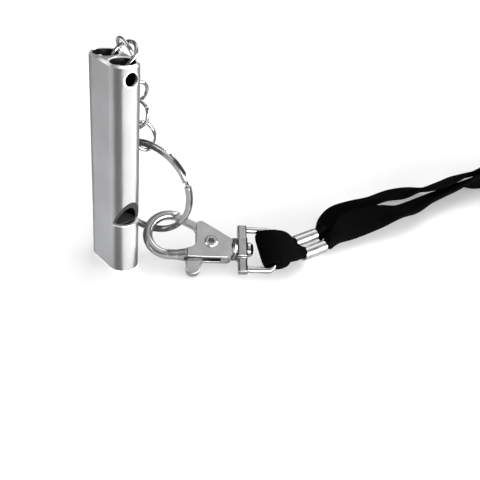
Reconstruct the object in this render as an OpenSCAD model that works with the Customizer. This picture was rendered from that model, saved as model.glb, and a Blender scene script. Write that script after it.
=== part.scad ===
// Twin-tube survival whistle with a jump-ring chain, split ring, swivel trigger hook and neck lanyard.
// Millimetres. The whistle stands on its mouth end; +X right, +Y back, +Z up.
// Origin: centre of the mouth-end face, on the floor.

/* [Whistle body] */
// Length from mouth to tail
body_len = 58; // [50:0.5:70]
// Width across both tubes
body_w = 16; // [15.5:0.1:16.5]
// Thickness across one tube
body_t = 8.1; // [7.8:0.1:8.2]
// Bore of each tube
bore_d = 6.4; // [6:0.1:6.6]
// Chamfer around both ends
rim_chamfer = 0.6; // [0.4:0.05:0.7]
// Chamfer at the mouth of each bore
bore_chamfer = 0.3; // [0.1:0.05:0.4]
// Cross hole near the tail
side_hole_d = 3.5; // [3.2:0.1:3.8]
// Cross hole centre below the tail face
side_hole_drop = 3.5; // [3.2:0.1:3.6]
// Square wall of each sound window above the mouth
window_z = 14.9; // [12:0.1:18]
// Length of the window along the tube
window_len = 6.7; // [5:0.1:8]
// Depth of the window at its square wall
window_depth = 3.0; // [2:0.1:3.4]
// Recess of the windway plugs at the mouth
plug_recess = 2.0; // [1:0.1:4]
// Height of the windway above each plug
windway_h = 1.2; // [0.8:0.1:1.6]
// Closed end of the left tube above the mouth
stop_left_z = 38; // [34:0.5:44]
// Closed end of the right tube above the mouth
stop_right_z = 42; // [34:0.5:44]

/* [Chain and split ring] */
// Wire of the tail ring and the chain links
chain_wire = 1.0; // [0.9:0.05:1.0]
// Mean radius of the tail ring
tail_ring_r = 3.9; // [3.8:0.1:4]
// Lean of the tail ring towards the back face
tail_lean = 42; // [40:1:42]
// Mean radius of a chain link
link_r = 3.7; // [3.6:0.1:3.7]
// Free play between two linked wires
link_play = 0.2; // [0.15:0.05:0.25]
// Outside diameter of the split ring
split_d = 28; // [27:0.5:28]
// Radial size of the split ring's flat wire
split_radial = 1.4; // [1.2:0.1:1.4]
// Thickness of one turn of the flat wire
split_turn_t = 0.9; // [0.8:0.05:1.0]

/* [Trigger hook] */
// Wire of the bow
bow_wire = 2.7; // [2.4:0.1:2.8]
// Mean radius of the bow
bow_r = 6.1; // [6:0.1:6.2]
// Thickness of the hook plate over both cheeks
plate_t = 4.6; // [4.2:0.1:5]
// Slot between the cheeks
slot_t = 2.4; // [2.2:0.1:2.6]
// Thickness of the gate in the slot
gate_t = 2.0; // [1.8:0.1:2]
// Rivet that the gate turns on
rivet_d = 2.4; // [2:0.1:2.6]
// Wire of the swivel eye
eye_wire = 1.8; // [1.6:0.1:1.8]
// Width of the swivel eye between wire centres
eye_w = 12.2; // [12.2:0.1:12.8]

/* [Lanyard] */
// Width of the flat band
band_w = 10; // [9:0.5:10]
// Thickness of the flat band
band_t = 1.7; // [1.2:0.1:1.7]
// Length of the twin-barrel crimp
crimp_len = 8.5; // [8:0.1:9]
// Space between neighbouring turns of the put-away coil, centre to centre
coil_space = 3.9; // [3.8:0.1:4.2]
// Radius at which the coil's two arms start
coil_in_r = 16; // [15:0.5:16]

/* [Hidden] */
$fn = 64;

aluminium = [0.72, 0.73, 0.74];
nickel = [0.80, 0.80, 0.79];
satin_zinc = [0.64, 0.65, 0.66];
black_web = [0.06, 0.06, 0.07];
plug_grey = [0.25, 0.25, 0.27];

tube_r = body_t / 2;
tube_x = (body_w - body_t) / 2;
bore_r = bore_d / 2;
side_hole_z = body_len - side_hole_drop;
eps = 0.01;
// Turn of the whistle about its long axis, so that a flat face and a round side both show
body_turn = -46.5;

// Chain. Each link hangs from a point on the wire of the piece above it; local x runs along the
// whistle's width and local y points out of its back face.
tail_hang_z = side_hole_z + 0.4;
tail_up = [0, sin(tail_lean), cos(tail_lean)];
tail_centre = [0, 0, tail_hang_z] + tail_ring_r * tail_up;
link_reach = link_r - chain_wire - link_play;
// The first link hangs left of the tail ring's top and lies against the back rim
first_at = 49;
first_reach = 2.4;
link_1_top = tail_centre + tail_ring_r * (cos(first_at) * tail_up - sin(first_at) * [1, 0, 0]);
// Facing angle, lean backwards, lean sideways
hang_1 = [86, 23, 0];
hang_2 = [43, 18, -1];
hang_3 = [1, -5, -20];
hang_4 = [122, 6, 40];
hang_5 = [8, 2, 31];
function hang_dir(h) = [cos(h[1]) * sin(h[2]), sin(h[1]), -cos(h[1]) * cos(h[2])];
link_1_low = link_1_top + (first_reach + link_r) * hang_dir(hang_1);
link_2_low = link_1_low + (link_reach + link_r) * hang_dir(hang_2);
link_3_low = link_2_low + (link_reach + link_r) * hang_dir(hang_3);
link_4_low = link_3_low + (link_reach + link_r) * hang_dir(hang_4);
link_5_low = link_4_low + (link_reach + link_r) * hang_dir(hang_5);

// Split ring, hanging in the last link
split_r = (split_d - split_radial) / 2;
split_face = 24;
split_lean = 4;
split_play = 0.4;
split_top = link_5_low - (chain_wire / 2 + split_play + split_radial / 2) * hang_dir(hang_5);
split_drop = [
    -sin(split_face) * sin(split_lean),
    cos(split_face) * sin(split_lean),
    -cos(split_lean)
];
split_centre = split_top + split_r * split_drop;

// Hook: local x along the swivel axis, local y across the hook in its plane, local z out of its face
hook_pos = [26.6, 0.8, 5.9];
hook_lean = 32;
hook_heading = 8;
pivot = [0, 1.2];
bow_centre = [-11.5, 4.0];
gate_reach = 12.8;
gate_play = 0.25;
eye_base_x = 8.8;
eye_bar_x = 17.5;
eye_corner = 1.6;

// Crimp: local x along the barrels, barrel A on the +y side
crimp_pos = [54.9, 12.8, 3.3];
crimp_heading = 42;
crimp_roll = 22;
barrel_r = 1.9;
barrel_bore_r = 1.5;
barrel_y = 2.3;
gather_w = 2.3;

// Band routes: x, y, z, turn of the band about its run, width
route_a = [
    [56.0, 16.7, 4.2, 0, 2.3], [57.6, 18.2, 4.2, 0, 2.6], [59.4, 22.2, 2.9, 6, 3.4],
    [62.2, 28.6, 2.1, 8, 6.6], [66.8, 36.0, 2.0, 2, 10], [72.6, 42.2, 2.5, -14, 10],
    [79.0, 47.0, 2.9, -24, 10], [86.2, 52.4, 2.7, -14, 10], [92.2, 55.8, 3.3, -22, 10],
    [98.0, 57.2, 3.7, -31, 10], [104.6, 61.6, 4.5, -32, 10], [111.2, 67.4, 5.1, -35, 10],
    [117.2, 72.8, 4.2, -40, 10], [124.0, 78.8, 4.9, -62, 10], [131.8, 84.4, 5.4, -90, 10]
];
route_b = [
    [58.8, 13.5, 2.5, 0, 2.3], [60.4, 15.0, 2.5, 0, 2.6], [62.4, 17.6, 3.4, 12, 3.4],
    [65.2, 21.2, 4.2, 24, 6.4], [69.4, 25.6, 4.8, 21, 10], [75.6, 30.2, 5.1, 12, 10],
    [81.8, 34.6, 5.5, -5, 10], [87.6, 39.8, 4.1, -15, 10], [93.4, 46.8, 3.4, -25, 10],
    [99.6, 53.2, 3.2, -29, 10], [106.0, 58.8, 3.6, -32, 10], [112.6, 63.6, 4.9, -42, 10],
    [119.4, 67.4, 5.1, -70, 10], [126.6, 73.2, 5.2, -88, 10], [134.4, 80.6, 5.4, -90, 10]
];
// Loop around the bar of the eye, from barrel A to barrel B: x, y, z, width. The band lies askew on the bar.
loop_skew = 14;
route_loop = [
    [51.2, 12.3, 4.1, 2.3], [50.0, 11.2, 4.1, 2.6], [48.2, 9.0, 4.0, 5.8], [45.9, 5.6, 4.0, 9.6],
    [43.6, 4.4, 4.1, 10], [41.6, 3.8, 4.6, 10], [40.8, 2.9, 5.9, 10], [41.5, 2.2, 7.3, 10],
    [43.3, 2.0, 8.1, 10], [45.8, 2.6, 8.2, 10], [49.0, 4.4, 6.9, 9.2], [51.6, 6.8, 3.7, 4.3],
    [53.0, 8.2, 2.5, 2.4], [54.2, 9.3, 2.5, 2.3]
];

// Coil of the unseen length: two arms wound together on edge, joined by an S in the middle
coil_centre = [164.6, 70.3];
coil_z = 5.4;
coil_start = 133;
coil_turns_b = 1.5;
coil_turns_a = 2;
coil_step = 15;
coil_pitch = 2 * coil_space;

function unit(v) = v / norm(v);
function arc(c, r, a0, a1, n) = [
    for (i = [0:n])
        let (a = a0 + (a1 - a0) * i / n)
            c + r * [cos(a), sin(a)]
];

// Points between the route points on a smooth curve through them
function between(a, b, c, d, t) =
    b + (c - a) * t / 2 + (2 * a - 5 * b + 4 * c - d) * t * t / 2 + (3 * b - 3 * c + d - a) * t * t * t / 2;
function smooth(p, n) = [
    for (i = [0:len(p) - 2], k = [0:n - 1])
        between(p[max(i - 1, 0)], p[i], p[i + 1], p[min(i + 2, len(p) - 1)], k / n),
    p[len(p) - 1]
];
function place(p) = [p[0], p[1], p[2]];
function run(p, i) = unit(place(p[min(i + 1, len(p) - 1)]) - place(p[max(i - 1, 0)]));
// Direction of the band's width where it turns by an angle about its run
function turned(t, a) = cos(a) * unit([-t[1], t[0], 0]) + sin(a) * unit(cross(t, unit([-t[1], t[0], 0])));
function thickness(w) = band_t + 0.4 * (band_w - w) / (band_w - gather_w);
band_section = [
    [0.5, 0.25], [0.4, 0.5], [-0.4, 0.5], [-0.5, 0.25], [-0.5, -0.25], [-0.4, -0.5], [0.4, -0.5], [0.5, -0.25]
];
function band_ring(c, side, t, w) =
    [for (s = band_section) c + s[0] * w * side + s[1] * thickness(w) * cross(t, side)];

// Spiral arm of the coil, from the middle outwards
function arm(turns, from) = [
    for (i = [0:round(turns * 360 / coil_step)])
        let (a = i * coil_step, r = coil_in_r + coil_pitch * a / 360)
            [coil_centre[0] + r * cos(from + a), coil_centre[1] + r * sin(from + a), coil_z, -90, band_w]
];
function back(p) = [for (i = [len(p) - 1:-1:0]) p[i]];
from_a = coil_start - 360 * coil_turns_a;
from_b = coil_start - 360 * coil_turns_b;
function half_s(side, a0, a1) = [
    for (i = [1:11])
        let (a = a0 + (a1 - a0) * i / 12, h = coil_in_r / 2)
            [
                coil_centre[0] + side * h * cos(from_a) + h * cos(a),
                coil_centre[1] + side * h * sin(from_a) + h * sin(a),
                coil_z, -90, band_w
            ]
];
coil_route = concat(
    back(arm(coil_turns_a, from_a)),
    half_s(1, from_a, from_a - 180),
    [[coil_centre[0], coil_centre[1], coil_z, -90, band_w]],
    half_s(-1, from_a, from_a + 180),
    arm(coil_turns_b, from_b)
);
// Straight points in line with the first run of the coil, ending on its first point
function lead_in(p) = [for (d = [6, 3, 0]) p[0] + d * (p[0] - p[1]) / norm(p[0] - p[1])];
coil_gap = min([
    for (i = [0:len(coil_route) - 1], k = [i + 6:1:len(coil_route) - 1])
        norm(place(coil_route[i]) - place(coil_route[k]))
]) - band_t;
function length_of(p, i = 1) =
    i < len(p) ? norm(place(p[i]) - place(p[i - 1])) + length_of(p, i + 1) : 0;
function loop_place(p) = [for (q = p) [q[0], q[1], q[2], 0, q[3]]];
echo(least_gap_of_the_coil = coil_gap);
echo(length_of_the_band = length_of(smooth(concat(route_a, lead_in(coil_route)), 3))
    + length_of(smooth(concat(route_b, lead_in(back(coil_route))), 3))
    + length_of(coil_route) + length_of(smooth(loop_place(route_loop), 3)) + 2 * crimp_len);

// Frames
module on_body() {
    rotate([0, 0, body_turn]) children();
}

module on_hook() {
    translate(hook_pos) rotate([hook_lean, 0, hook_heading]) children();
}

module on_crimp() {
    translate(crimp_pos) rotate([crimp_roll, 0, crimp_heading]) children();
}

// Shared shapes
module band(p, sides) {
    n = len(p);
    m = len(band_section);
    points = [for (i = [0:n - 1]) each band_ring(place(p[i]), sides[i], run(p, i), p[i][4])];
    walls = [
        for (i = [0:n - 2], k = [0:m - 1])
            let (a = i * m + k, b = i * m + (k + 1) % m)
                each [[a, b, b + m], [a, b + m, a + m]]
    ];
    caps = [for (k = [1:m - 2]) each [[0, k + 1, k], [(n - 1) * m, (n - 1) * m + k, (n - 1) * m + k + 1]]];
    polyhedron(points, concat(walls, caps));
}

module turned_band(p) {
    band(p, [for (i = [0:len(p) - 1]) turned(run(p, i), p[i][3])]);
}

// Open wire ring in the xz plane with its butt joint at an angle from +x
module jump_ring(r, joint) {
    joint_gap = 0.25;
    open = joint_gap / r * 180 / PI;
    rotate([90, 0, 0])
        rotate([0, 0, joint + open / 2])
            rotate_extrude(angle = 360 - open) translate([r, 0]) circle(d = chain_wire, $fn = 32);
}

module hung_link(top, reach, h, joint) {
    on_body()
        translate(top + reach * hang_dir(h))
            rotate([h[1], -h[2], 0])
                rotate([0, 0, h[0] - 90]) jump_ring(link_r, joint);
}

// Tube with chamfered ends
module chamfered_tube_solid() {
    rotate_extrude() polygon([
        [0, 0], [tube_r - rim_chamfer, 0], [tube_r, rim_chamfer],
        [tube_r, body_len - rim_chamfer], [tube_r - rim_chamfer, body_len], [0, body_len]
    ]);
}

module chamfered_bridge() {
    translate([-tube_x, 0, 0]) rotate([90, 0, 90]) linear_extrude(2 * tube_x) polygon([
        [rim_chamfer - tube_r, 0], [tube_r - rim_chamfer, 0], [tube_r, rim_chamfer],
        [tube_r, body_len - rim_chamfer], [tube_r - rim_chamfer, body_len],
        [rim_chamfer - tube_r, body_len], [-tube_r, body_len - rim_chamfer], [-tube_r, rim_chamfer]
    ]);
}

module chamfered_bore() {
    rotate_extrude() polygon([
        [0, -eps], [bore_r + bore_chamfer + eps, -eps], [bore_r, bore_chamfer],
        [bore_r, body_len - bore_chamfer], [bore_r + bore_chamfer + eps, body_len + eps], [0, body_len + eps]
    ]);
}

// Sound window: square wall on the mouth side, ramp rising towards the tail
module window_cut() {
    edge = body_w / 2;
    over = 1;
    rise = window_len * (window_depth + over) / window_depth;
    rotate([90, 0, 0]) linear_extrude(body_t + 2, center = true) polygon([
        [edge - window_depth, window_z], [edge + over, window_z], [edge + over, window_z + rise]
    ]);
}

module side_hole_cut() {
    sink = 0.35;
    rotate([0, 90, 0]) cylinder(d = side_hole_d, h = body_w + 2, center = true);
    for (s = [0, 180])
        rotate([0, 90, s]) translate([0, 0, body_w / 2 - sink])
            cylinder(d1 = side_hole_d, d2 = side_hole_d + 2 * sink + 0.2, h = sink + 0.1);
}

// Whistle
module whistle_body() {
    color(aluminium) on_body() difference() {
        union() {
            for (s = [-1, 1]) translate([s * tube_x, 0, 0]) chamfered_tube_solid();
            chamfered_bridge();
        }
        for (s = [-1, 1]) translate([s * tube_x, 0, 0]) chamfered_bore();
        for (s = [0, 180]) rotate([0, 0, s]) window_cut();
        translate([0, 0, side_hole_z]) side_hole_cut();
    }
}

// Plug in the mouth of a tube, flat on the window side to leave the windway
module windway_plug(side) {
    flat_x = bore_r - windway_h;
    color(plug_grey) on_body()
        rotate([0, 0, side > 0 ? 0 : 180]) translate([tube_x, 0, plug_recess]) difference() {
            cylinder(r = bore_r, h = window_z - plug_recess);
            translate([flat_x, -bore_r - 1, -1]) cube([bore_r, 2 * bore_r + 2, window_z]);
        }
}

module stop_plug(side, z) {
    plug_h = 3;
    color(plug_grey) on_body() translate([side * tube_x, 0, z]) cylinder(r = bore_r, h = plug_h);
}

module windway_plug_left() { windway_plug(-1); }
module windway_plug_right() { windway_plug(1); }
module stop_plug_left() { stop_plug(-1, stop_left_z); }
module stop_plug_right() { stop_plug(1, stop_right_z); }

// Chain
module tail_ring() {
    color(nickel) on_body() translate([0, 0, tail_hang_z])
        rotate([-tail_lean, 0, 0]) translate([0, 0, tail_ring_r]) jump_ring(tail_ring_r, -160);
}

module chain_link_1() { color(nickel) hung_link(link_1_top, first_reach, hang_1, 0); }
module chain_link_2() { color(nickel) hung_link(link_1_low, link_reach, hang_2, 0); }
module chain_link_3() { color(nickel) hung_link(link_2_low, link_reach, hang_3, 180); }
module chain_link_4() { color(nickel) hung_link(link_3_low, link_reach, hang_4, 0); }
module chain_link_5() { color(nickel) hung_link(link_4_low, link_reach, hang_5, 0); }

// Split ring: two turns of flat wire side by side, each with a gap where the other steps across
module turn_gap(start, low) {
    open = 6;
    rotate([0, 0, start]) rotate_extrude(angle = open, $fn = 120)
        translate([split_r - split_radial, low]) square([2 * split_radial, split_turn_t + 1]);
}

module split_ring() {
    edge = 0.22;
    groove = 0.16;
    a = split_radial / 2;
    t = split_turn_t;
    skin = 0.03;
    color(nickel) on_body() translate(split_centre)
        rotate([0, 0, split_face]) rotate([split_lean - 90, 0, 0]) difference() {
            rotate_extrude($fn = 120) translate([split_r, 0]) polygon([
                [a - edge, -t], [a, edge - t], [a, -edge], [a - groove, 0],
                [a, edge], [a, t - edge], [a - edge, t],
                [edge - a, t], [-a, t - edge], [-a, edge], [groove - a, 0],
                [-a, -edge], [-a, edge - t], [edge - a, -t]
            ]);
            turn_gap(-66, skin);
            turn_gap(-24, -split_turn_t - 1 - skin);
        }
}

// Hook
module bow_arc(from, to) {
    translate([bow_centre[0], bow_centre[1], 0]) rotate([0, 0, from])
        rotate_extrude(angle = to - from) translate([bow_r, 0]) circle(d = bow_wire, $fn = 40);
}

module plate_outline() {
    polygon(concat(
        arc([-2.8, 6.2], 1.4, 180, 60, 6),
        arc([4.6, 1.4], 1.4, 60, 0, 5),
        arc([4.4, -1.9], 1.6, 0, -90, 6),
        [[-6.6, -3.5], [-6.6, -0.7]],
        arc([-6.2, 1.4], 2.0, -80, 0, 6)
    ));
}

module hook_body() {
    arm_y = bow_centre[1] - bow_r;
    flare_x = -9.8;
    neck_x = 6;
    color(satin_zinc) on_hook() difference() {
        union() {
            difference() {
                bow_arc(52, 270);
                translate([pivot[0], pivot[1], -3]) rotate([0, 0, 100])
                    rotate_extrude(angle = 70) square([gate_reach + gate_play, 6]);
            }
            translate([bow_centre[0] - 0.3, arm_y, 0]) rotate([0, 90, 0])
                cylinder(d = bow_wire + 0.1, h = 6, $fn = 40);
            intersection() {
                translate([flare_x, arm_y, 0]) rotate([0, 90, 0])
                    cylinder(r1 = bow_wire / 2 - 0.1, r2 = plate_t / 2 + 0.6, h = 4.4, $fn = 40);
                translate([flare_x, arm_y - 1.2, -plate_t / 2 + 0.05]) cube([4.4, 2.4, plate_t - 0.1]);
            }
            linear_extrude(plate_t, center = true) plate_outline();
            translate([neck_x - 2.2, 0, 0]) rotate([0, 90, 0]) cylinder(r1 = 1.6, r2 = 2.6, h = 2.2 + eps);
            translate([neck_x, 0, 0]) rotate([0, 90, 0]) cylinder(r = 3.2, h = 1.2);
        }
        translate([-7.2, -6, -slot_t / 2]) cube([10, 18, slot_t]);
        translate([pivot[0], pivot[1], 0]) cylinder(d = rivet_d, h = plate_t + 2, center = true);
        translate([neck_x - 3, 0, 0]) rotate([0, 90, 0]) cylinder(r = 1.3, h = 5);
    }
}

module gate_outline() {
    hub_r = 2.2;
    difference() {
        union() {
            translate(pivot) circle(r = hub_r);
            polygon([[-10.2, 11.0], [-11.1, 9.2], [-4.9, 6.0], [-1.8, 0.2], [1.4, 2.6], [-3.0, 7.2]]);
            polygon(concat(
                [[-1.4, 2.8], [-6.4, -1.6]],
                arc([-4.9, -6.2], 2.05, 185, 355, 10),
                [[-2.2, -2.2], [1.6, 0.2]]
            ));
        }
        translate(pivot) circle(d = rivet_d + 0.1);
    }
}

module hook_gate() {
    pad_t = 2.6;
    color(satin_zinc) on_hook() {
        intersection() {
            linear_extrude(gate_t, center = true) gate_outline();
            translate([pivot[0], pivot[1], 0]) cylinder(r = gate_reach, h = plate_t, center = true);
        }
        linear_extrude(pad_t, center = true) polygon(concat(
            [[-6.8, -4.3]],
            arc([-4.9, -6.2], 2.05, 185, 355, 10),
            [[-2.5, -4.3]]
        ));
    }
}

module gate_rivet() {
    head_t = 0.5;
    head_r = 1.8;
    hole_r = 0.85;
    half = plate_t / 2;
    color(nickel) on_hook() translate([pivot[0], pivot[1], 0]) rotate_extrude() polygon([
        [hole_r, -half - head_t], [head_r - 0.3, -half - head_t], [head_r, -half - 0.2], [head_r, -half],
        [rivet_d / 2, -half], [rivet_d / 2, half], [head_r, half], [head_r, half + 0.2],
        [head_r - 0.3, half + head_t], [hole_r, half + head_t]
    ]);
}

module swivel_post() {
    post_r = 1.3;
    head_r = 2.1;
    color(nickel) on_hook() translate([3.2, 0, 0]) rotate([0, 90, 0]) rotate_extrude() polygon([
        [0, 0], [post_r, 0], [post_r, 7.2], [head_r, 7.2], [head_r, 7.9], [1.5, 8.7], [0, 9.0]
    ]);
}

// Bar across the hook with bevelled edges: reach along x, half width, half thickness
module bevelled_bar(x0, x1, half_w, half_t) {
    bevel = 0.45;
    translate([0, half_w, 0]) rotate([90, 0, 0]) linear_extrude(2 * half_w) polygon([
        [x0 + bevel, -half_t], [x1 - bevel, -half_t], [x1, bevel - half_t], [x1, half_t - bevel],
        [x1 - bevel, half_t], [x0 + bevel, half_t], [x0, half_t - bevel], [x0, bevel - half_t]
    ]);
}

module swivel_eye() {
    half = eye_w / 2;
    r = eye_wire / 2;
    color(nickel) on_hook() difference() {
        union() {
            bevelled_bar(7.6, 10.2, half + r + 0.15, 1.3);
            bevelled_bar(7.35, 10.25, 2.9, 2.4);
            for (s = [-1, 1]) {
                translate([eye_base_x, s * half, 0]) rotate([0, 90, 0])
                    cylinder(r = r, h = eye_bar_x - eye_corner - eye_base_x, $fn = 32);
                translate([eye_bar_x - eye_corner, s * (half - eye_corner), 0])
                    rotate([0, 0, s > 0 ? 0 : -90])
                        rotate_extrude(angle = 90) translate([eye_corner, 0]) circle(r = r, $fn = 32);
            }
            translate([eye_bar_x, half - eye_corner, 0]) rotate([90, 0, 0])
                cylinder(r = r, h = eye_w - 2 * eye_corner, $fn = 32);
        }
        translate([6, 0, 0]) rotate([0, 90, 0]) cylinder(r = 1.4, h = 6);
    }
}

// Lanyard
module lanyard_loop() {
    p = smooth(loop_place(route_loop), 3);
    across = [-sin(hook_heading) * cos(hook_lean), cos(hook_heading) * cos(hook_lean), sin(hook_lean)];
    along = [cos(hook_heading), sin(hook_heading), 0];
    lean = cos(loop_skew) * across - sin(loop_skew) * along;
    color(black_web) band(p, [for (i = [0:len(p) - 1]) unit(lean - (lean * run(p, i)) * run(p, i))]);
}

module crimp_sleeve() {
    color(nickel) on_crimp() difference() {
        union() {
            for (s = [-1, 1])
                translate([-crimp_len / 2, s * barrel_y, 0]) rotate([0, 90, 0])
                    cylinder(r = barrel_r, h = crimp_len);
            cube([crimp_len, 2 * (barrel_y - barrel_r) + 0.8, 0.8], center = true);
        }
        for (s = [-1, 1])
            translate([-crimp_len / 2 - 1, s * barrel_y, 0]) rotate([0, 90, 0])
                cylinder(r = barrel_bore_r, h = crimp_len + 2);
    }
}

module lanyard_strand_a() {
    color(black_web) turned_band(smooth(concat(route_a, lead_in(coil_route)), 3));
}

module lanyard_strand_b() {
    color(black_web) turned_band(smooth(concat(route_b, lead_in(back(coil_route))), 3));
}

module lanyard_coil() {
    color(black_web) turned_band(coil_route);
}

// Strap closed around the coil's turns
module coil_tie() {
    strap_w = 6;
    strap_t = 0.25;
    in_r = 13.6;
    out_r = 34.4;
    tie_angle = -47;
    low = coil_z - band_w / 2 - 0.05;
    high = coil_z + band_w / 2 + 0.05;
    color(black_web) translate([coil_centre[0], coil_centre[1], 0])
        rotate([0, 0, tie_angle]) difference() {
            translate([in_r, -strap_w / 2, low - strap_t])
                cube([out_r - in_r, strap_w, high - low + 2 * strap_t]);
            translate([in_r + 0.4, -strap_w, low])
                cube([out_r - in_r - 0.8, 2 * strap_w, high - low]);
        }
}

whistle_body();
windway_plug_left();
windway_plug_right();
stop_plug_left();
stop_plug_right();
tail_ring();
chain_link_1();
chain_link_2();
chain_link_3();
chain_link_4();
chain_link_5();
split_ring();
hook_body();
hook_gate();
gate_rivet();
swivel_post();
swivel_eye();
lanyard_loop();
crimp_sleeve();
lanyard_strand_a();
lanyard_strand_b();
lanyard_coil();
coil_tie();
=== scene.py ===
# %% [markdown]
# Survival whistle with chain, trigger hook and neck lanyard.
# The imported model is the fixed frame: every rigid piece is already in place and at its real size.
# This lesson gives each piece its finish, lays the soft band as one continuous surface, and lights it.

import bmesh
import bpy
import numpy as np
from mathutils import Matrix


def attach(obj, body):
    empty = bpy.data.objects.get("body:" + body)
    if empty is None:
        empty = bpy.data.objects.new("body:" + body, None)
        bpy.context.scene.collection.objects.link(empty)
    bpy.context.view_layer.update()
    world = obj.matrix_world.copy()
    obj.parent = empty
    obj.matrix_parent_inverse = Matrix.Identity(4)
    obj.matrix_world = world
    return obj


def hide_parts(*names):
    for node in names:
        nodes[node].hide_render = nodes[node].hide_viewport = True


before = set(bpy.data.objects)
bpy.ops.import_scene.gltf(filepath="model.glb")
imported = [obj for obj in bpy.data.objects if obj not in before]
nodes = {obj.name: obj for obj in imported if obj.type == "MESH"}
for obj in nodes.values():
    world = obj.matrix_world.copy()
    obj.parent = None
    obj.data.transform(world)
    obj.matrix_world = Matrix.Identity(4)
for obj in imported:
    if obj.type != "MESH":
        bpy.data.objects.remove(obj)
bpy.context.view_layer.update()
MM = 0.001

# %% [markdown]
# The camera stands in front of the whistle and above it, tipped down and leaning a little to one side.
# Its place and its two angles are real measurements in the part's own frame, so the picture needs no
# shift. The lens is given in millimetres for a 36 mm sensor and a square picture.

# %% Camera
camera_place = np.array([34.54, -159.34, 110.05]) * MM
camera_tip = np.radians(32.05)
camera_lean = np.radians(6.14)
camera_lens, camera_sensor = 51.16, 36
ahead = np.array([0, np.cos(camera_tip), -np.sin(camera_tip)])
level_up = np.array([0, np.sin(camera_tip), np.cos(camera_tip)])
level_right = np.array([1.0, 0, 0])
right = np.cos(camera_lean) * level_right + np.sin(camera_lean) * level_up
up = np.cos(camera_lean) * level_up - np.sin(camera_lean) * level_right

camera = bpy.data.objects.new("camera", bpy.data.cameras.new("camera"))
camera.data.lens = camera_lens
camera.data.sensor_width = camera_sensor
camera.data.clip_start = 10 * MM
camera.matrix_world = Matrix.Translation(camera_place) @ Matrix(np.column_stack([right, up, -ahead])).to_4x4()
bpy.context.scene.collection.objects.link(camera)
bpy.context.scene.camera = camera
print(f"camera {np.linalg.norm(camera_place):.3f} m from the origin")

# %% [markdown]
# The lanyard is one flat woven band, 10 mm wide. It is gathered to a thick cord inside the crimp, makes a
# loop around the bar of the swivel eye, and runs on as two strands. Far to the right the rest is wound on
# edge. A curve with a bevel cannot change from flat to round, so the band is a section carried along a path,
# with its own width and its own sideways direction at every point. A row of a route is x, y, z, the turn
# about the run in degrees, and the width; lengths are in millimetres.

# %% Route of the band
ROUTE_A = np.array([
    [56.0, 16.7, 4.2, 0, 2.3], [57.6, 18.2, 4.2, 0, 2.6], [59.4, 22.2, 2.9, 6, 4.4],
    [62.2, 28.6, 2.1, 8, 7.8], [66.8, 36.0, 2.0, 2, 10], [72.6, 42.2, 2.5, -14, 10],
    [79.0, 47.0, 2.9, -24, 10], [86.2, 52.4, 2.7, -14, 10], [92.2, 55.8, 3.3, -22, 10],
    [98.0, 57.2, 3.7, -31, 10], [104.6, 61.6, 4.5, -32, 10], [111.2, 67.4, 5.1, -35, 10],
    [117.2, 72.8, 4.2, -40, 10], [124.0, 78.8, 4.9, -62, 10], [131.8, 84.4, 5.4, -90, 10],
])
ROUTE_B = np.array([
    [58.8, 13.5, 2.5, 0, 2.3], [60.4, 15.0, 2.5, 0, 2.6], [62.4, 17.6, 3.4, 12, 4.4],
    [65.2, 21.2, 4.2, 24, 7.8], [69.4, 25.6, 4.8, 21, 10], [75.6, 30.2, 5.1, 12, 10],
    [81.8, 34.6, 5.5, -5, 10], [87.6, 39.8, 4.1, -15, 10], [93.4, 46.8, 3.4, -25, 10],
    [99.6, 53.2, 3.2, -29, 10], [106.0, 58.8, 3.6, -32, 10], [112.6, 63.6, 4.9, -42, 10],
    [119.4, 67.4, 5.1, -70, 10], [126.6, 73.2, 5.2, -88, 10], [134.4, 80.6, 5.4, -90, 10],
])
ROUTE_LOOP = np.array([
    [51.2, 12.3, 4.1, 0, 2.3], [50.0, 11.2, 4.1, 0, 2.6], [48.2, 9.0, 4.0, 0, 5.8],
    [45.9, 5.6, 4.0, 0, 9.6], [43.6, 4.4, 4.1, 0, 10], [41.6, 3.8, 4.6, 0, 10],
    [40.8, 2.9, 5.9, 0, 10], [41.5, 2.2, 7.3, 0, 10], [43.3, 2.0, 8.1, 0, 10],
    [45.8, 2.6, 8.2, 0, 10], [49.0, 4.4, 6.9, 0, 9.2], [51.6, 6.8, 3.7, 0, 4.3],
    [53.0, 8.2, 2.5, 0, 2.4], [54.2, 9.3, 2.5, 0, 2.3],
])
BAND_W, BAND_T = 10, 1.7
STRAND_STEPS, LOOP_STEPS = 10, 12
print(f"routes of {len(ROUTE_A)}, {len(ROUTE_B)} and {len(ROUTE_LOOP)} points for a {BAND_W} mm band")


# %% Directions and curves
def unit(v):
    """Each row divided by its own length."""
    return v / np.linalg.norm(v, axis=-1, keepdims=True)


def smooth(p, steps):
    """Curve through every route point: from one to the next runs a cubic, and its slope at a point is half
    the chord between that point's neighbours."""
    q = np.vstack([p[:1], p, p[-1:]])
    a, b, c, d = (q[k:len(q) - 3 + k, None, :] for k in range(4))
    t = (np.arange(steps) / steps)[None, :, None]
    inner = b + (c - a) * t / 2 + (2 * a - 5 * b + 4 * c - d) * t**2 / 2 + (3 * b - 3 * c + d - a) * t**3 / 2
    return np.vstack([inner.reshape(-1, p.shape[1]), p[-1:]])


def runs(p):
    """Unit direction of travel: the chord from the point before to the point after."""
    places = np.vstack([p[:1, :3], p[:, :3], p[-1:, :3]])
    return unit(places[2:] - places[:-2])


def turned_sides(p):
    """Direction of the band's width: level and to the left, turned about the run by the route's angle."""
    run = runs(p)
    left = unit(np.column_stack([-run[:, 1], run[:, 0], 0 * run[:, 0]]))
    angle = np.radians(p[:, 3:4])
    return np.cos(angle) * left + np.sin(angle) * np.cross(run, left)


loop = smooth(ROUTE_LOOP, LOOP_STEPS)
print(f"loop of {len(loop)} points")

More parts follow.
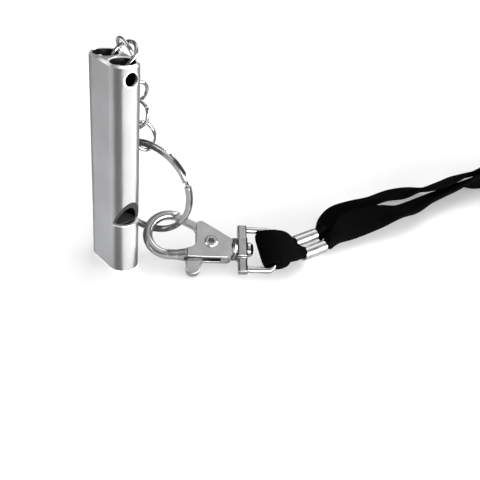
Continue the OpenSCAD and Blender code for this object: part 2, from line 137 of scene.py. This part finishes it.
# %% [markdown]
# The coil is a double spiral. Strand A comes in along one arm and strand B along the other, and the two arms
# meet in an S at the centre. Each strand ends with a straight lead, whose points lie these lengths before the
# coil and nearly in line with the start of its arm.

# %% Coil and strands
COIL_CENTRE = np.array([164.6, 70.3])
COIL_Z = 5.4
COIL_START = 133
COIL_TURNS_A, COIL_TURNS_B = 2, 1.5
COIL_IN_R, COIL_PITCH = 16, 7.8
ON_EDGE = -90
LEAD = np.array([[6], [3], [0]])
LEAD_POINT = 5


def on_edge(xy):
    """Route rows for a stretch of coil that stands on its edge."""
    rows = np.tile([0, 0, COIL_Z, ON_EDGE, BAND_W], (len(xy), 1)).astype(float)
    rows[:, :2] = xy
    return rows


def coil_arm(turns, step=3):
    """Spiral outwards: the radius grows by one pitch a turn and the angle ends at the coil's start."""
    along = np.radians(np.arange(0, turns * 360 + step, step))
    angle = np.radians(COIL_START - turns * 360) + along
    r = COIL_IN_R + COIL_PITCH * along / (2 * np.pi)
    return on_edge(COIL_CENTRE + r[:, None] * np.column_stack([np.cos(angle), np.sin(angle)]))


def coil_middle(side, steps=24):
    """Half circle of half the inner radius, from the end of one arm to the coil's centre."""
    start = np.radians(COIL_START - COIL_TURNS_A * 360)
    angle = start - side * np.pi * np.arange(1, steps) / steps
    h = COIL_IN_R / 2
    middle = COIL_CENTRE + side * h * np.array([np.cos(start), np.sin(start)])
    return on_edge(middle + h * np.column_stack([np.cos(angle), np.sin(angle)]))


coil = np.vstack([
    coil_arm(COIL_TURNS_A)[::-1], coil_middle(1), on_edge(COIL_CENTRE[None]),
    coil_middle(-1), coil_arm(COIL_TURNS_B),
])


def into_coil(route, end):
    """The strand's route, then the straight lead up to the end of a coil arm."""
    first, later = end[0], end[LEAD_POINT]
    lead = first + LEAD * (first - later) / np.linalg.norm(first[:2] - later[:2])
    return smooth(np.vstack([route, lead]), STRAND_STEPS)


strand_a = into_coil(ROUTE_A, coil)
strand_b = into_coil(ROUTE_B, coil[::-1])
print(f"coil of {len(coil)} points, strands of {len(strand_a)} and {len(strand_b)}")

# %% [markdown]
# Now the four stretches are joined end to end: the loop from the second barrel to the first, through the
# first barrel, out along strand A, round the coil, and home along strand B. In the loop the width lies
# a little askew on the bar of the eye. Where the band is gathered it bulges, because a folded weave keeps its
# area, and only the crimp itself presses it flat.

# %% Path, width and thickness
GATHER_W, PRESSED_T = 2.3, 2.1
BULGE = 3
HOOK_HEADING = np.radians(8)
HOOK_LEAN = np.radians(32)
LOOP_SKEW = np.radians(14)
eye_bar = np.array([
    -np.sin(HOOK_HEADING) * np.cos(HOOK_LEAN), np.cos(HOOK_HEADING) * np.cos(HOOK_LEAN), np.sin(HOOK_LEAN),
])
hook_axis = np.array([np.cos(HOOK_HEADING), np.sin(HOOK_HEADING), 0])
askew = np.cos(LOOP_SKEW) * eye_bar - np.sin(LOOP_SKEW) * hook_axis
loop_run = runs(loop)
loop_side = unit(askew - (loop_run @ askew)[:, None] * loop_run)

path = np.vstack([loop[::-1], strand_a, coil[1:], strand_b[::-1][1:]])
side = np.vstack([
    loop_side[::-1], turned_sides(strand_a), turned_sides(coil)[1:], turned_sides(strand_b)[::-1][1:],
])
travel = runs(path)
side = unit(side - np.sum(side * travel, axis=1, keepdims=True) * travel)
width = path[:, 4]
thick = np.minimum(BAND_T * BAND_W / width, PRESSED_T + BULGE * (width - GATHER_W))
centre = path[:, :3] * MM
lengths = np.concatenate([[0], np.cumsum(np.linalg.norm(np.diff(centre, axis=0), axis=1))])
print(f"path {lengths[-1]:.3f} m long, {thick.min():.1f} to {thick.max():.1f} mm thick")

# %% [markdown]
# The section is a rounded rectangle. At each point of the path it is stretched to the width along the side
# and to the thickness across it, and all these rings together are one closed surface.

# %% Band as one surface
BAND_POINTS, BAND_SQUARE = 28, 0.45
CROWN = 0.8


def tube(name, rings, along, endless=False):
    """Closed tube through rings of points (rings x points x 3). An endless one runs back into its first
    ring, and any other has both ends capped. UV holds metres: around the section, and along the path."""
    n, m = rings.shape[:2]
    i, k = np.meshgrid(np.arange(n - 1), np.arange(m), indexing="ij")
    beside = (k + 1) % m
    after = (i + 1) % (n - 1) if endless else i + 1
    quads = np.stack([i * m + k, i * m + beside, after * m + beside, after * m + k], -1).reshape(-1, 4)
    caps = [] if endless else [list(range(m))[::-1], list(range((n - 1) * m, n * m))]
    points = rings[:-1] if endless else rings
    mesh = bpy.data.meshes.new(name)
    mesh.from_pydata(points.reshape(-1, 3).tolist(), [], quads.tolist() + caps)
    step = np.linalg.norm(np.roll(rings[n // 2], -1, 0) - rings[n // 2], axis=1)
    around = np.concatenate([[0], np.cumsum(step)])
    u = np.stack([around[k], around[k + 1], around[k + 1], around[k]], -1)
    v = np.stack([along[i], along[i], along[i + 1], along[i + 1]], -1)
    uv = np.zeros((len(mesh.loops), 2), np.float32)
    uv[:quads.size] = np.stack([u, v], -1).reshape(-1, 2)
    mesh.uv_layers.new(name="UVMap").data.foreach_set("uv", uv.ravel())
    mesh.polygons.foreach_set("use_smooth", np.ones(len(mesh.polygons), bool))
    obj = bpy.data.objects.new(name, mesh)
    bpy.context.scene.collection.objects.link(obj)
    return obj


def rounded(points, square):
    """Section of half size 1: cosine and sine, each raised to a power below 1 to flatten the faces."""
    a = 2 * np.pi * np.arange(points) / points
    return np.column_stack([
        np.sign(np.cos(a)) * np.abs(np.cos(a)) ** square, np.sign(np.sin(a)) * np.abs(np.sin(a)) ** CROWN,
    ])


section = rounded(BAND_POINTS, BAND_SQUARE)
across = section[None, :, :1] * (width * MM / 2)[:, None, None] * side[:, None, :]
through = section[None, :, 1:] * (thick * MM / 2)[:, None, None] * np.cross(travel, side)[:, None, :]
band = tube("lanyard_band", centre[:, None, :] + across + through, lengths)
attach(band, "lanyard")
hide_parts("lanyard_loop", "lanyard_strand_a", "lanyard_strand_b", "lanyard_coil")
print(f"band {lengths[-1]:.3f} m long, {len(band.data.polygons)} faces")

# %% [markdown]
# A strap closes around the wound turns. Seen along the band it is a flat ring with round corners: a
# rectangle whose corners are quarter circles.

# %% Tie around the coil
TIE_ANGLE = np.radians(-47)
TIE_IN_R, TIE_OUT_R = 13.7, 34.3
TIE_W, TIE_T = 5.6, 0.24
TIE_LOW, TIE_HIGH = 0.25, 10.55
TIE_CORNER, CORNER_POINTS = 1.2, 9
TIE_POINTS, TIE_SQUARE = 16, 0.3


def quarter(x, z, start):
    """Quarter circle about (x, z) from a start angle in degrees."""
    a = np.radians(start + np.linspace(0, 90, CORNER_POINTS))
    return np.column_stack([x + TIE_CORNER * np.cos(a), z + TIE_CORNER * np.sin(a)])


outline = np.vstack([
    quarter(TIE_OUT_R - TIE_CORNER, TIE_HIGH - TIE_CORNER, 0),
    quarter(TIE_IN_R + TIE_CORNER, TIE_HIGH - TIE_CORNER, 90),
    quarter(TIE_IN_R + TIE_CORNER, TIE_LOW + TIE_CORNER, 180),
    quarter(TIE_OUT_R - TIE_CORNER, TIE_LOW + TIE_CORNER, 270),
])
outward = np.array([np.cos(TIE_ANGLE), np.sin(TIE_ANGLE), 0])
strap_side = np.array([-np.sin(TIE_ANGLE), np.cos(TIE_ANGLE), 0])
tie_path = outline[:, :1] * outward + outline[:, 1:] * np.array([0, 0, 1]) + np.append(COIL_CENTRE, 0)
tie_path = np.vstack([tie_path, tie_path[:1]])
tie_run = unit(np.roll(tie_path[:-1], -1, 0) - np.roll(tie_path[:-1], 1, 0))
tie_run = np.vstack([tie_run, tie_run[:1]])
strap = rounded(TIE_POINTS, TIE_SQUARE)
tie_rings = (
    tie_path[:, None, :] + strap[None, :, :1] * TIE_W / 2 * strap_side
    + strap[None, :, 1:] * TIE_T / 2 * np.cross(tie_run, strap_side)[:, None, :]
) * MM
tie_along = np.concatenate([[0], np.cumsum(np.linalg.norm(np.diff(tie_path, axis=0), axis=1))]) * MM
tie = tube("coil_strap", tie_rings, tie_along, endless=True)
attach(tie, "lanyard")
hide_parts("coil_tie")
print(f"tie {tie_along[-1] / MM:.0f} mm around, {len(tie.data.polygons)} faces")

# %% [markdown]
# Every finish starts from the same recipe: a principled shader whose roughness wanders a little and whose
# surface has a fine grain. Nodes could be laid by hand in the editor. Laid in code, each one is a line that
# can be read. Patterns are read in object coordinates, which here are metres.

# %% Finish recipe
class Finish:
    """A material under construction: its nodes, its links and the shader at its end."""

    def __init__(self, name):
        self.material = bpy.data.materials.new(name)
        self.material.use_nodes = True
        self.tree = self.material.node_tree
        self.shader = self.tree.nodes["Principled BSDF"]
        self.place = self.add("ShaderNodeTexCoord").outputs["Object"]

    def add(self, kind, **settings):
        """A new node of a kind, with its settings."""
        node = self.tree.nodes.new(kind)
        for key, value in settings.items():
            setattr(node, key, value)
        return node

    def link(self, source, target):
        """Leads one node's output into another node's input."""
        self.tree.links.new(source, target)

    def set(self, **values):
        """Fixed values of the shader; an underscore stands for a space in a socket's name."""
        for key, value in values.items():
            self.shader.inputs[key.replace("_", " ")].default_value = value

    def math(self, operation, a, b=0.0):
        """One arithmetic node; a and b are sockets or plain numbers."""
        node = self.add("ShaderNodeMath", operation=operation)
        for socket, value in zip(node.inputs, (a, b)):
            if hasattr(value, "is_linked"):
                self.link(value, socket)
            else:
                socket.default_value = value
        return node.outputs[0]

    def length(self, a, b):
        """Square root of the sum of two squares."""
        return self.math("SQRT", self.math("ADD", self.math("MULTIPLY", a, a), self.math("MULTIPLY", b, b)))

    def beyond(self, point, normal):
        """Signed distance from the plane through a point that has this unit normal."""
        toward = self.add("ShaderNodeVectorMath", operation="DOT_PRODUCT")
        self.link(self.place, toward.inputs[0])
        toward.inputs[1].default_value = normal
        return self.math("SUBTRACT", toward.outputs["Value"], float(np.dot(point, normal)))

    def noise(self, scale, detail=2.0, vector=None):
        """Cloudy pattern; the scale counts its patches in a metre, unless a vector is given."""
        node = self.add("ShaderNodeTexNoise")
        node.inputs["Scale"].default_value = scale
        node.inputs["Detail"].default_value = detail
        self.link(vector or self.place, node.inputs["Vector"])
        return node.outputs["Fac"]

    def spread(self, value, low, high, start=0.0, end=1.0):
        """Maps a value from start..end onto low..high."""
        node = self.add("ShaderNodeMapRange")
        for key, number in (("From Min", start), ("From Max", end), ("To Min", low), ("To Max", high)):
            node.inputs[key].default_value = number
        self.link(value, node.inputs["Value"])
        return node.outputs[0]

    def colours(self, value, *stops):
        """Colour ramp through (position, colour) stops."""
        ramp = self.add("ShaderNodeValToRGB")
        while len(ramp.color_ramp.elements) < len(stops):
            ramp.color_ramp.elements.new(0.5)
        for element, (position, colour) in zip(ramp.color_ramp.elements, stops):
            element.position = position
            element.color = (*colour, 1)
        self.link(value, ramp.inputs["Fac"])
        return ramp.outputs["Color"]

    def bump(self, height, distance, strength=1.0):
        """Fine relief: a height times a distance in metres, which only turns the light."""
        node = self.add("ShaderNodeBump")
        node.inputs["Distance"].default_value = distance
        node.inputs["Strength"].default_value = strength
        self.link(height, node.inputs["Height"])
        self.link(node.outputs["Normal"], self.shader.inputs["Normal"])

    def to(self, value, socket):
        """Leads a value into one of the shader's sockets."""
        self.link(value, self.shader.inputs[socket])


def dress(finish, *names):
    """Gives a finish to CAD pieces, in place of the plain one that they came with."""
    for name in names:
        mesh = nodes[name].data
        mesh.materials.clear()
        mesh.materials.append(finish.material)
    print(f"{finish.material.name}: {', '.join(names)}")


# %% [markdown]
# The body is drawn aluminium with a turned satin skin: its fine lines run around the tube, so lights draw
# out into upright stripes. The chamfers at both ends and the rim of the cross hole were cut afterwards and
# are bright. A thin band along the lip of each window is painted bright as a highlight, and the bores and the
# ramps of the two windows are painted near black as shade.
# Each of these places is found from the body's own measures, as a distance to a plane, an axis or an end.

# %% Places on the body
BODY_TURN = np.radians(-46.5)
BODY_LEN = 58 * MM
CHAMFER = 0.6 * MM
HOLE_Z = 54.5 * MM
HOLE_RIM_R = 2.1 * MM
TUBE_X, BORE_R = 3.95 * MM, 3.22 * MM
WINDOW_U, WINDOW_Z = 5.0 * MM, 14.9 * MM
RAMP_DEPTH, RAMP_LEN = 3.0 * MM, 6.7 * MM
RAMP_ANGLE = np.arctan2(RAMP_DEPTH, RAMP_LEN)
LIP = 0.3 * MM
CUT_SOFT, RIM_SOFT, WINDOW_SOFT, BORE_SOFT = 0.04 * MM, 0.05 * MM, 0.1 * MM, 0.03 * MM
RAMP_NEAR, RAMP_FAR = 0.027 * MM, 0.0545 * MM
aluminium = Finish("satin_aluminium")
ORIGIN = (0, 0, 0)
z = aluminium.beyond(ORIGIN, (0, 0, 1))
out_of_face = aluminium.beyond(ORIGIN, (-np.sin(BODY_TURN), np.cos(BODY_TURN), 0))
along_width = aluminium.math("ABSOLUTE", aluminium.beyond(ORIGIN, (np.cos(BODY_TURN), np.sin(BODY_TURN), 0)))
from_end = aluminium.math("MINIMUM", z, aluminium.math("SUBTRACT", BODY_LEN, z))
cut_end = aluminium.spread(from_end, 1, 0, CHAMFER - CUT_SOFT, CHAMFER + CUT_SOFT)
from_hole = aluminium.length(out_of_face, aluminium.math("SUBTRACT", z, HOLE_Z))
cut_hole = aluminium.spread(from_hole, 1, 0, HOLE_RIM_R - RIM_SOFT, HOLE_RIM_R + RIM_SOFT)
from_lip = aluminium.math("ABSOLUTE", aluminium.math("SUBTRACT", z, WINDOW_Z - LIP / 2))
beside_window = aluminium.spread(along_width, 0, 1, WINDOW_U, WINDOW_U + WINDOW_SOFT)
at_lip = aluminium.spread(from_lip, 1, 0, LIP / 2, LIP / 2 + WINDOW_SOFT)
# Painted highlight: a thin band along the lip under each window is brightened in the base colour and made
# smoother.
lip_highlight = aluminium.math("MULTIPLY", beside_window, at_lip)
# The chamfers and the hole rim are bare bright metal; the lip band joins them as a painted highlight.
cut_and_lip_highlight = aluminium.math("MAXIMUM", cut_end, aluminium.math("MAXIMUM", cut_hole, lip_highlight))
from_axis = aluminium.length(aluminium.math("SUBTRACT", along_width, TUBE_X), out_of_face)
in_bore = aluminium.spread(from_axis, 1, 0, BORE_R, BORE_R + BORE_SOFT)
ramp_out = aluminium.math("MULTIPLY", aluminium.math("SUBTRACT", along_width, WINDOW_U), np.cos(RAMP_ANGLE))
ramp_up = aluminium.math("MULTIPLY", aluminium.math("SUBTRACT", z, WINDOW_Z), np.sin(RAMP_ANGLE))
from_ramp = aluminium.math("ABSOLUTE", aluminium.math("SUBTRACT", ramp_out, ramp_up))
near_ramp = aluminium.spread(from_ramp, 1, 0, RAMP_NEAR, RAMP_FAR)
above_lip = aluminium.spread(z, 0, 1, WINDOW_Z, WINDOW_Z + WINDOW_SOFT)
on_ramp = aluminium.math("MULTIPLY", near_ramp, above_lip)
# Painted shade: the bores and the ramps of the windows are taken to near black in the base colour.
painted_shade = aluminium.math("MAXIMUM", in_bore, on_ramp)
print(f"{aluminium.material.name}: bright where cut, dark where raw")

# %% Satin aluminium
LINES_PER_METRE = (900, 900, 9000)
# The shine brightens the bare chamfers and the painted lip highlight alike.
CUT_POLISH, CUT_AND_HIGHLIGHT_SHINE = 0.2, 0.6
aluminium.set(Metallic=1.0, Anisotropic=0.97, Anisotropic_Rotation=0.25)
around = aluminium.add("ShaderNodeTangent", direction_type="RADIAL", axis="Z")
aluminium.link(around.outputs["Tangent"], aluminium.shader.inputs["Tangent"])
lines = aluminium.add("ShaderNodeMapping")
lines.inputs["Scale"].default_value = LINES_PER_METRE
aluminium.link(aluminium.place, lines.inputs["Vector"])
grain = aluminium.noise(1, 2, lines.outputs["Vector"])
cloud = aluminium.noise(90, 2)
skin_rough = aluminium.math(
    "ADD", aluminium.spread(cloud, 0.52, 0.58, 0.35, 0.65), aluminium.spread(grain, -0.02, 0.02),
)
aluminium.to(aluminium.math("SUBTRACT", skin_rough, aluminium.math("MULTIPLY", cut_and_lip_highlight, CUT_POLISH)), "Roughness")
skin_tone = aluminium.spread(grain, 0.3, 0.4, 0.3, 0.7)
cut_and_highlight_tone = aluminium.math("ADD", skin_tone, aluminium.math("MULTIPLY", cut_and_lip_highlight, CUT_AND_HIGHLIGHT_SHINE))
# Painted shade: subtracting it takes the bores and window ramps to the near-black first stop of the ramp.
tone = aluminium.math("SUBTRACT", cut_and_highlight_tone, painted_shade)
aluminium.to(aluminium.colours(
    tone, (0.0, (0.03, 0.03, 0.031)), (0.3, (0.3, 0.302, 0.307)), (0.4, (0.32, 0.322, 0.327)),
    (1.0, (0.8, 0.805, 0.81)),
), "Base Color")
aluminium.bump(grain, 0.003 * MM, 0.4)
dress(aluminium, "whistle_body")

# %% [markdown]
# The four plugs in the tubes are moulded in dark plastic. They sit inside the bores, where little light
# falls, so a dull finish with a faint mottle is all that they need.

# %% Plug plastic
plug = Finish("plug_plastic")
plug.set(Roughness=0.6)
plug.to(plug.colours(plug.noise(900), (0.3, (0.03, 0.03, 0.032)), (0.7, (0.05, 0.05, 0.052))), "Base Color")
dress(plug, "windway_plug_left", "windway_plug_right", "stop_plug_left", "stop_plug_right")

# %% [markdown]
# Chain, split ring, rivet and swivel are nickel plated and polished. Handling leaves faint smudges, so the
# roughness wanders between mirror and slightly hazy. The seam between the two turns of the split ring, which
# lies in the ring's middle plane, gets painted shade. The rivet is hazier, because its rim was pressed over.

# %% Polished nickel
RING_CENTRE = np.array([7.62, 6.12, 20.45]) * MM
RING_TURN, RING_LEAN = np.radians(-22.5), np.radians(4)
ring_axis = np.array([
    -np.sin(RING_TURN) * np.cos(RING_LEAN), np.cos(RING_TURN) * np.cos(RING_LEAN), np.sin(RING_LEAN),
])
ring_level = np.array([np.cos(RING_TURN), np.sin(RING_TURN), 0])
ring_rise = np.cross(ring_axis, ring_level)
RING_R = 13.3 * MM
SEAM_NEAR, SEAM_FAR = 0.1 * MM, 0.25 * MM
GROOVE_START, GROOVE_END = 0.45 * MM, 0.55 * MM


def seam_shade(finish):
    """Painted shade of the seam: 1 in its two grooves, near the ring's middle plane and away from its middle
    radius.
    """
    from_plane = finish.math("ABSOLUTE", finish.beyond(RING_CENTRE, ring_axis))
    radius = finish.length(finish.beyond(RING_CENTRE, ring_level), finish.beyond(RING_CENTRE, ring_rise))
    from_middle = finish.math("ABSOLUTE", finish.math("SUBTRACT", radius, RING_R))
    near = finish.spread(from_plane, 1, 0, SEAM_NEAR, SEAM_FAR)
    return finish.math("MULTIPLY", near, finish.spread(from_middle, 0, 1, GROOVE_START, GROOVE_END))


def plated(name, shaded=None, haze=0.0):
    """Nickel plate; shaded makes the mask of a place that no light reaches, which is painted dark as shade,
    and haze adds roughness.
    """
    nickel = Finish(name)
    nickel.set(Metallic=1.0, Specular_Tint=(0.5, 0.5, 0.5, 1))
    smudge = nickel.noise(420, 3)
    nickel.to(nickel.spread(smudge, 0.04 + haze, 0.1 + haze, 0.35, 0.7), "Roughness")
    # Painted shade: the masked place is darkened in the base colour.
    tone = nickel.math("SUBTRACT", smudge, shaded(nickel)) if shaded else smudge
    nickel.to(nickel.colours(
        tone, (0.0, (0.03, 0.03, 0.03)), (0.3, (0.31, 0.308, 0.304)), (0.7, (0.38, 0.378, 0.373)),
    ), "Base Color")
    nickel.bump(nickel.noise(1500, 2), 0.02 * MM, 0.25)
    return nickel


nickel = plated("polished_nickel")
dress(nickel, "tail_ring", *[f"chain_link_{i}" for i in range(1, 6)], "swivel_post")
ring_nickel = plated("split_ring_nickel", seam_shade, 0.06)
dress(plated("rivet_nickel", haze=0.2), "gate_rivet")

# %% [markdown]
# The crimp is soft bright tin, pressed in a die that leaves it slightly dull. One cloudy pattern drives its
# roughness and its tone together, so that a duller spot is also a paler one.

# %% Bright tin
tin = Finish("bright_tin")
tin.set(Metallic=1.0)
dull = tin.noise(500, 3)
tin.to(tin.spread(dull, 0.3, 0.38, 0.3, 0.7), "Roughness")
tin.to(tin.colours(dull, (0.3, (0.3, 0.3, 0.297)), (0.7, (0.36, 0.36, 0.357))), "Base Color")
tin.bump(tin.noise(1200, 2), 0.02 * MM, 0.2)
dress(tin, "crimp_sleeve")

# %% [markdown]
# The hook and its gate are zinc castings, tumbled and plated, with a satin skin. Tumbling leaves no lines, so
# unlike the body's skin this one spreads light alike in every direction.

# %% Satin zinc
zinc = Finish("satin_zinc")
zinc.set(Metallic=1.0, Specular_Tint=(0.5, 0.5, 0.5, 1))
skin = zinc.noise(260, 3)
zinc.to(zinc.spread(skin, 0.2, 0.28, 0.3, 0.7), "Roughness")
zinc.to(zinc.colours(skin, (0.3, (0.35, 0.352, 0.355)), (0.7, (0.41, 0.41, 0.41))), "Base Color")
zinc.bump(zinc.noise(900, 2), 0.01 * MM, 0.2)
print(f"{zinc.material.name}: for the rolled hook and gate")

# %% [markdown]
# A casting has no sharp edges. A copy of each one is merged into flat faces, and a bevel rolls its edges
# over, so that they catch a line of light. Only edges sharper than 40 degrees are rolled. On the hook, the
# roll stops short of the round bow and the round neck: a bevel that runs into the many short edges of a round
# form throws spikes. The split ring needs no roll, only smooth faces.

# %% Rolled edges
ROLL_ANGLE, FLAT_ANGLE = np.radians(40), np.radians(1)
WELD = 0.001 * MM
HOOK_PLACE = np.array([26.6, 0.8, 5.9]) * MM
EVERYWHERE, PLATE = (-np.inf, np.inf), (-8.5, 5.0)
ZINC_ROLL, EYE_ROLL, NO_ROLL = 0.25 * MM, 0.2 * MM, 0
ROLL_STEPS = 3


def rolled(name, body, finish, width, reach=EVERYWHERE):
    """A copy of a CAD piece, shown in its place. Its sharp edges are rolled over by a width in metres where
    their middle lies inside reach, measured in millimetres along the hook from its own origin."""
    work = bmesh.new()
    work.from_mesh(nodes[name].data)
    work.transform(nodes[name].matrix_world)
    bmesh.ops.remove_doubles(work, verts=work.verts, dist=WELD)
    bmesh.ops.dissolve_limit(work, angle_limit=FLAT_ANGLE, verts=work.verts, edges=work.edges)
    sharp = np.array([edge.calc_face_angle(0) for edge in work.edges]) > ROLL_ANGLE
    ends = np.array([[tuple(vertex.co) for vertex in edge.verts] for edge in work.edges])
    along = (ends.mean(axis=1) - HOOK_PLACE) @ hook_axis / MM
    rolls = sharp & (along > reach[0]) & (along < reach[1])
    mesh = bpy.data.meshes.new(f"{name}_rolled")
    work.to_mesh(mesh)
    work.free()
    mesh.polygons.foreach_set("use_smooth", np.ones(len(mesh.polygons), bool))
    weight = mesh.attributes.new("bevel_weight_edge", "FLOAT", "EDGE")
    weight.data.foreach_set("value", rolls.astype(np.float32))
    mesh.materials.append(finish.material)
    piece = bpy.data.objects.new(f"{name}_rolled", mesh)
    bpy.context.scene.collection.objects.link(piece)
    if width:
        bevel = piece.modifiers.new("rolled_edges", "BEVEL")
        bevel.width = width
        bevel.segments = ROLL_STEPS
        bevel.limit_method = "WEIGHT"
        bevel.use_clamp_overlap = False
    piece.modifiers.new("flat_faces", "WEIGHTED_NORMAL")
    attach(piece, body)
    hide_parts(name)
    print(f"{name}: {len(mesh.polygons)} faces, sharp edges rolled by {width / MM:.2f} mm")


rolled("hook_body", "hook", zinc, ZINC_ROLL, PLATE)
rolled("hook_gate", "gate", zinc, ZINC_ROLL)
rolled("swivel_eye", "eye", nickel, EYE_ROLL)
rolled("split_ring", "split_ring", ring_nickel, NO_ROLL)

# %% [markdown]
# Black polyester band: every weft thread makes a rib across the band, a little over half a millimetre
# apart, and the warp breaks each rib into short floats. Both waves run in the band's own UV, in metres.

# %% Woven black band
RIB = 0.62 * MM
FLOAT = 0.9 * MM
WARP_SHARE = 0.35
web = Finish("black_web")
web.set(Roughness=0.95, Specular_IOR_Level=0.01)
uv = web.add("ShaderNodeUVMap", uv_map="UVMap").outputs["UV"]
split = web.add("ShaderNodeSeparateXYZ")
web.link(uv, split.inputs[0])
rib = web.math("SINE", web.math("MULTIPLY", split.outputs["Y"], 2 * np.pi / RIB))
warp = web.math("SINE", web.math("MULTIPLY", split.outputs["X"], 2 * np.pi / FLOAT))
weave = web.math("ADD", rib, web.math("MULTIPLY", warp, WARP_SHARE))
web.bump(weave, 0.06 * MM, 0.8)
# Painted shade: the tone follows the weave's relief, darker in the valleys between the ribs and lighter on
# their tops.
height = web.spread(weave, 0, 1, -1 - WARP_SHARE, 1 + WARP_SHARE)
web.to(web.colours(height, (0.0, (0.0004, 0.0004, 0.0005)), (1.0, (0.0028, 0.0028, 0.0032))), "Base Color")
for piece in (band, tie):
    piece.data.materials.append(web.material)
print(f"{web.material.name}: {band.name}, {tie.name}")

# %% [markdown]
# The floor is plain white paper under two soft lamps: a large one high at the back and a smaller one low
# on the right. Seen directly or in a mirror, the paper is lifted a little, and it keeps its shadows.
# Metal is only as good as what it mirrors. The room is grey, with a pale ceiling and a low bright window at
# the front right, which draws the white stripe down the round side of the tube. A shaded corner at the front
# left draws the dark stripe beside it, and a lit wall on the left brightens the flat side. These panels stand
# low, where the tube sees them and the floor hardly does. Behind the object the camera sees plain white.

# %% Floor
FLOOR_HALF = 3.0
FLOOR_LIFT = 0.2
PAPER = (0.8, 0.8, 0.8, 1)
floor_mesh = bpy.data.meshes.new("floor")
corners = FLOOR_HALF * np.array([(-1, -1, 0), (1, -1, 0), (1, 1, 0), (-1, 1, 0)])
floor_mesh.from_pydata(corners.tolist(), [], [(0, 1, 2, 3)])
floor = bpy.data.objects.new("floor", floor_mesh)
bpy.context.scene.collection.objects.link(floor)
paper = Finish("white_paper")
paper.set(Base_Color=PAPER, Roughness=0.6, Emission_Color=(1, 1, 1, 1))
paper_rays = paper.add("ShaderNodeLightPath")
paper_seen = paper.math("MAXIMUM", paper_rays.outputs["Is Camera Ray"], paper_rays.outputs["Is Glossy Ray"])
paper.to(paper.math("MULTIPLY", paper_seen, FLOOR_LIFT), "Emission Strength")
floor_mesh.materials.append(paper.material)
print(f"floor {2 * FLOOR_HALF:.0f} m square")

# %% Lamps
ASIDE = (0, 1, 0.01)


def soft_lamp(name, place, target, size, power):
    """Square area lamp at a place, aimed at a target, both in metres. No lamp points along ASIDE, so the
    cross product with it gives the lamp's level edge."""
    lamp = bpy.data.lights.new(name, "AREA")
    lamp.size = size
    lamp.energy = power
    obj = bpy.data.objects.new(name, lamp)
    back = unit(np.subtract(place, target)[None])[0]
    level = unit(np.cross(ASIDE, back)[None])[0]
    turn = Matrix(np.column_stack([level, np.cross(back, level), back])).to_4x4()
    obj.matrix_world = Matrix.Translation(place) @ turn
    bpy.context.scene.collection.objects.link(obj)
    print(f"{name}: {power} W from {size} m square")


soft_lamp("top_light", (0.25, 0.45, 0.6), (0.04, 0.02, 0), 0.5, 2.2)
soft_lamp("right_light", (0.5, -0.2, 0.2), (0.0, 0, 0.03), 0.3, 0.2)

# %% World
ROOM, WINDOW, SHADE = 0.28, 29.0, 0.2
LEFT_WALL, CEILING = 9.0, 0.75
FRONT_RIGHT, FRONT_LEFT, LEFT = (0.883, -0.469, 0), (-0.42, -0.91, 0), (-0.974, -0.225, 0)
UPWARD, OVERHEAD = (0, 0, 1), (0, -0.1, 1)
world = bpy.data.worlds.new("studio")
bpy.context.scene.world = world
world.use_nodes = True
make, join = world.node_tree.nodes.new, world.node_tree.links.new
backdrop = world.node_tree.nodes["Background"]
backdrop.inputs["Color"].default_value = (1, 1, 1, 1)
looking = make("ShaderNodeTexCoord").outputs["Generated"]


def patch(direction, start, end, amount):
    """Brightness added towards a direction: the cosine to it, smoothly stepped from start to end."""
    toward = make("ShaderNodeVectorMath")
    toward.operation = "DOT_PRODUCT"
    toward.inputs[1].default_value = direction
    join(looking, toward.inputs[0])
    step = make("ShaderNodeMapRange")
    step.interpolation_type = "SMOOTHSTEP"
    for key, number in (("From Min", start), ("From Max", end), ("To Min", 0), ("To Max", amount)):
        step.inputs[key].default_value = number
    join(toward.outputs["Value"], step.inputs["Value"])
    return step.outputs[0]


def combine(operation, a, b):
    """One arithmetic node; a is a socket, b a socket or a plain number."""
    node = make("ShaderNodeMath")
    node.operation = operation
    join(a, node.inputs[0])
    if hasattr(b, "is_linked"):
        join(b, node.inputs[1])
    else:
        node.inputs[1].default_value = b
    return node.outputs[0]


window = patch(FRONT_RIGHT, 0.54, 0.62, WINDOW)
shade = patch(FRONT_LEFT, 0.72, 0.88, -SHADE)
left_wall = patch(LEFT, 0.82, 0.97, LEFT_WALL)
low_down = patch(UPWARD, 0.3, 0.15, 1)
panels = combine("ADD", combine("ADD", window, shade), left_wall)
walls = combine("MULTIPLY", panels, low_down)
ceiling = patch(OVERHEAD, 0.7, 0.95, CEILING)
room = combine("ADD", combine("ADD", walls, ceiling), ROOM)
seen = combine("MAXIMUM", room, make("ShaderNodeLightPath").outputs["Is Camera Ray"])
join(seen, backdrop.inputs["Strength"])
bpy.context.scene.view_settings.view_transform = "Standard"
print(f"room {ROOM}, window {WINDOW}, left wall {LEFT_WALL}, ceiling {CEILING}")
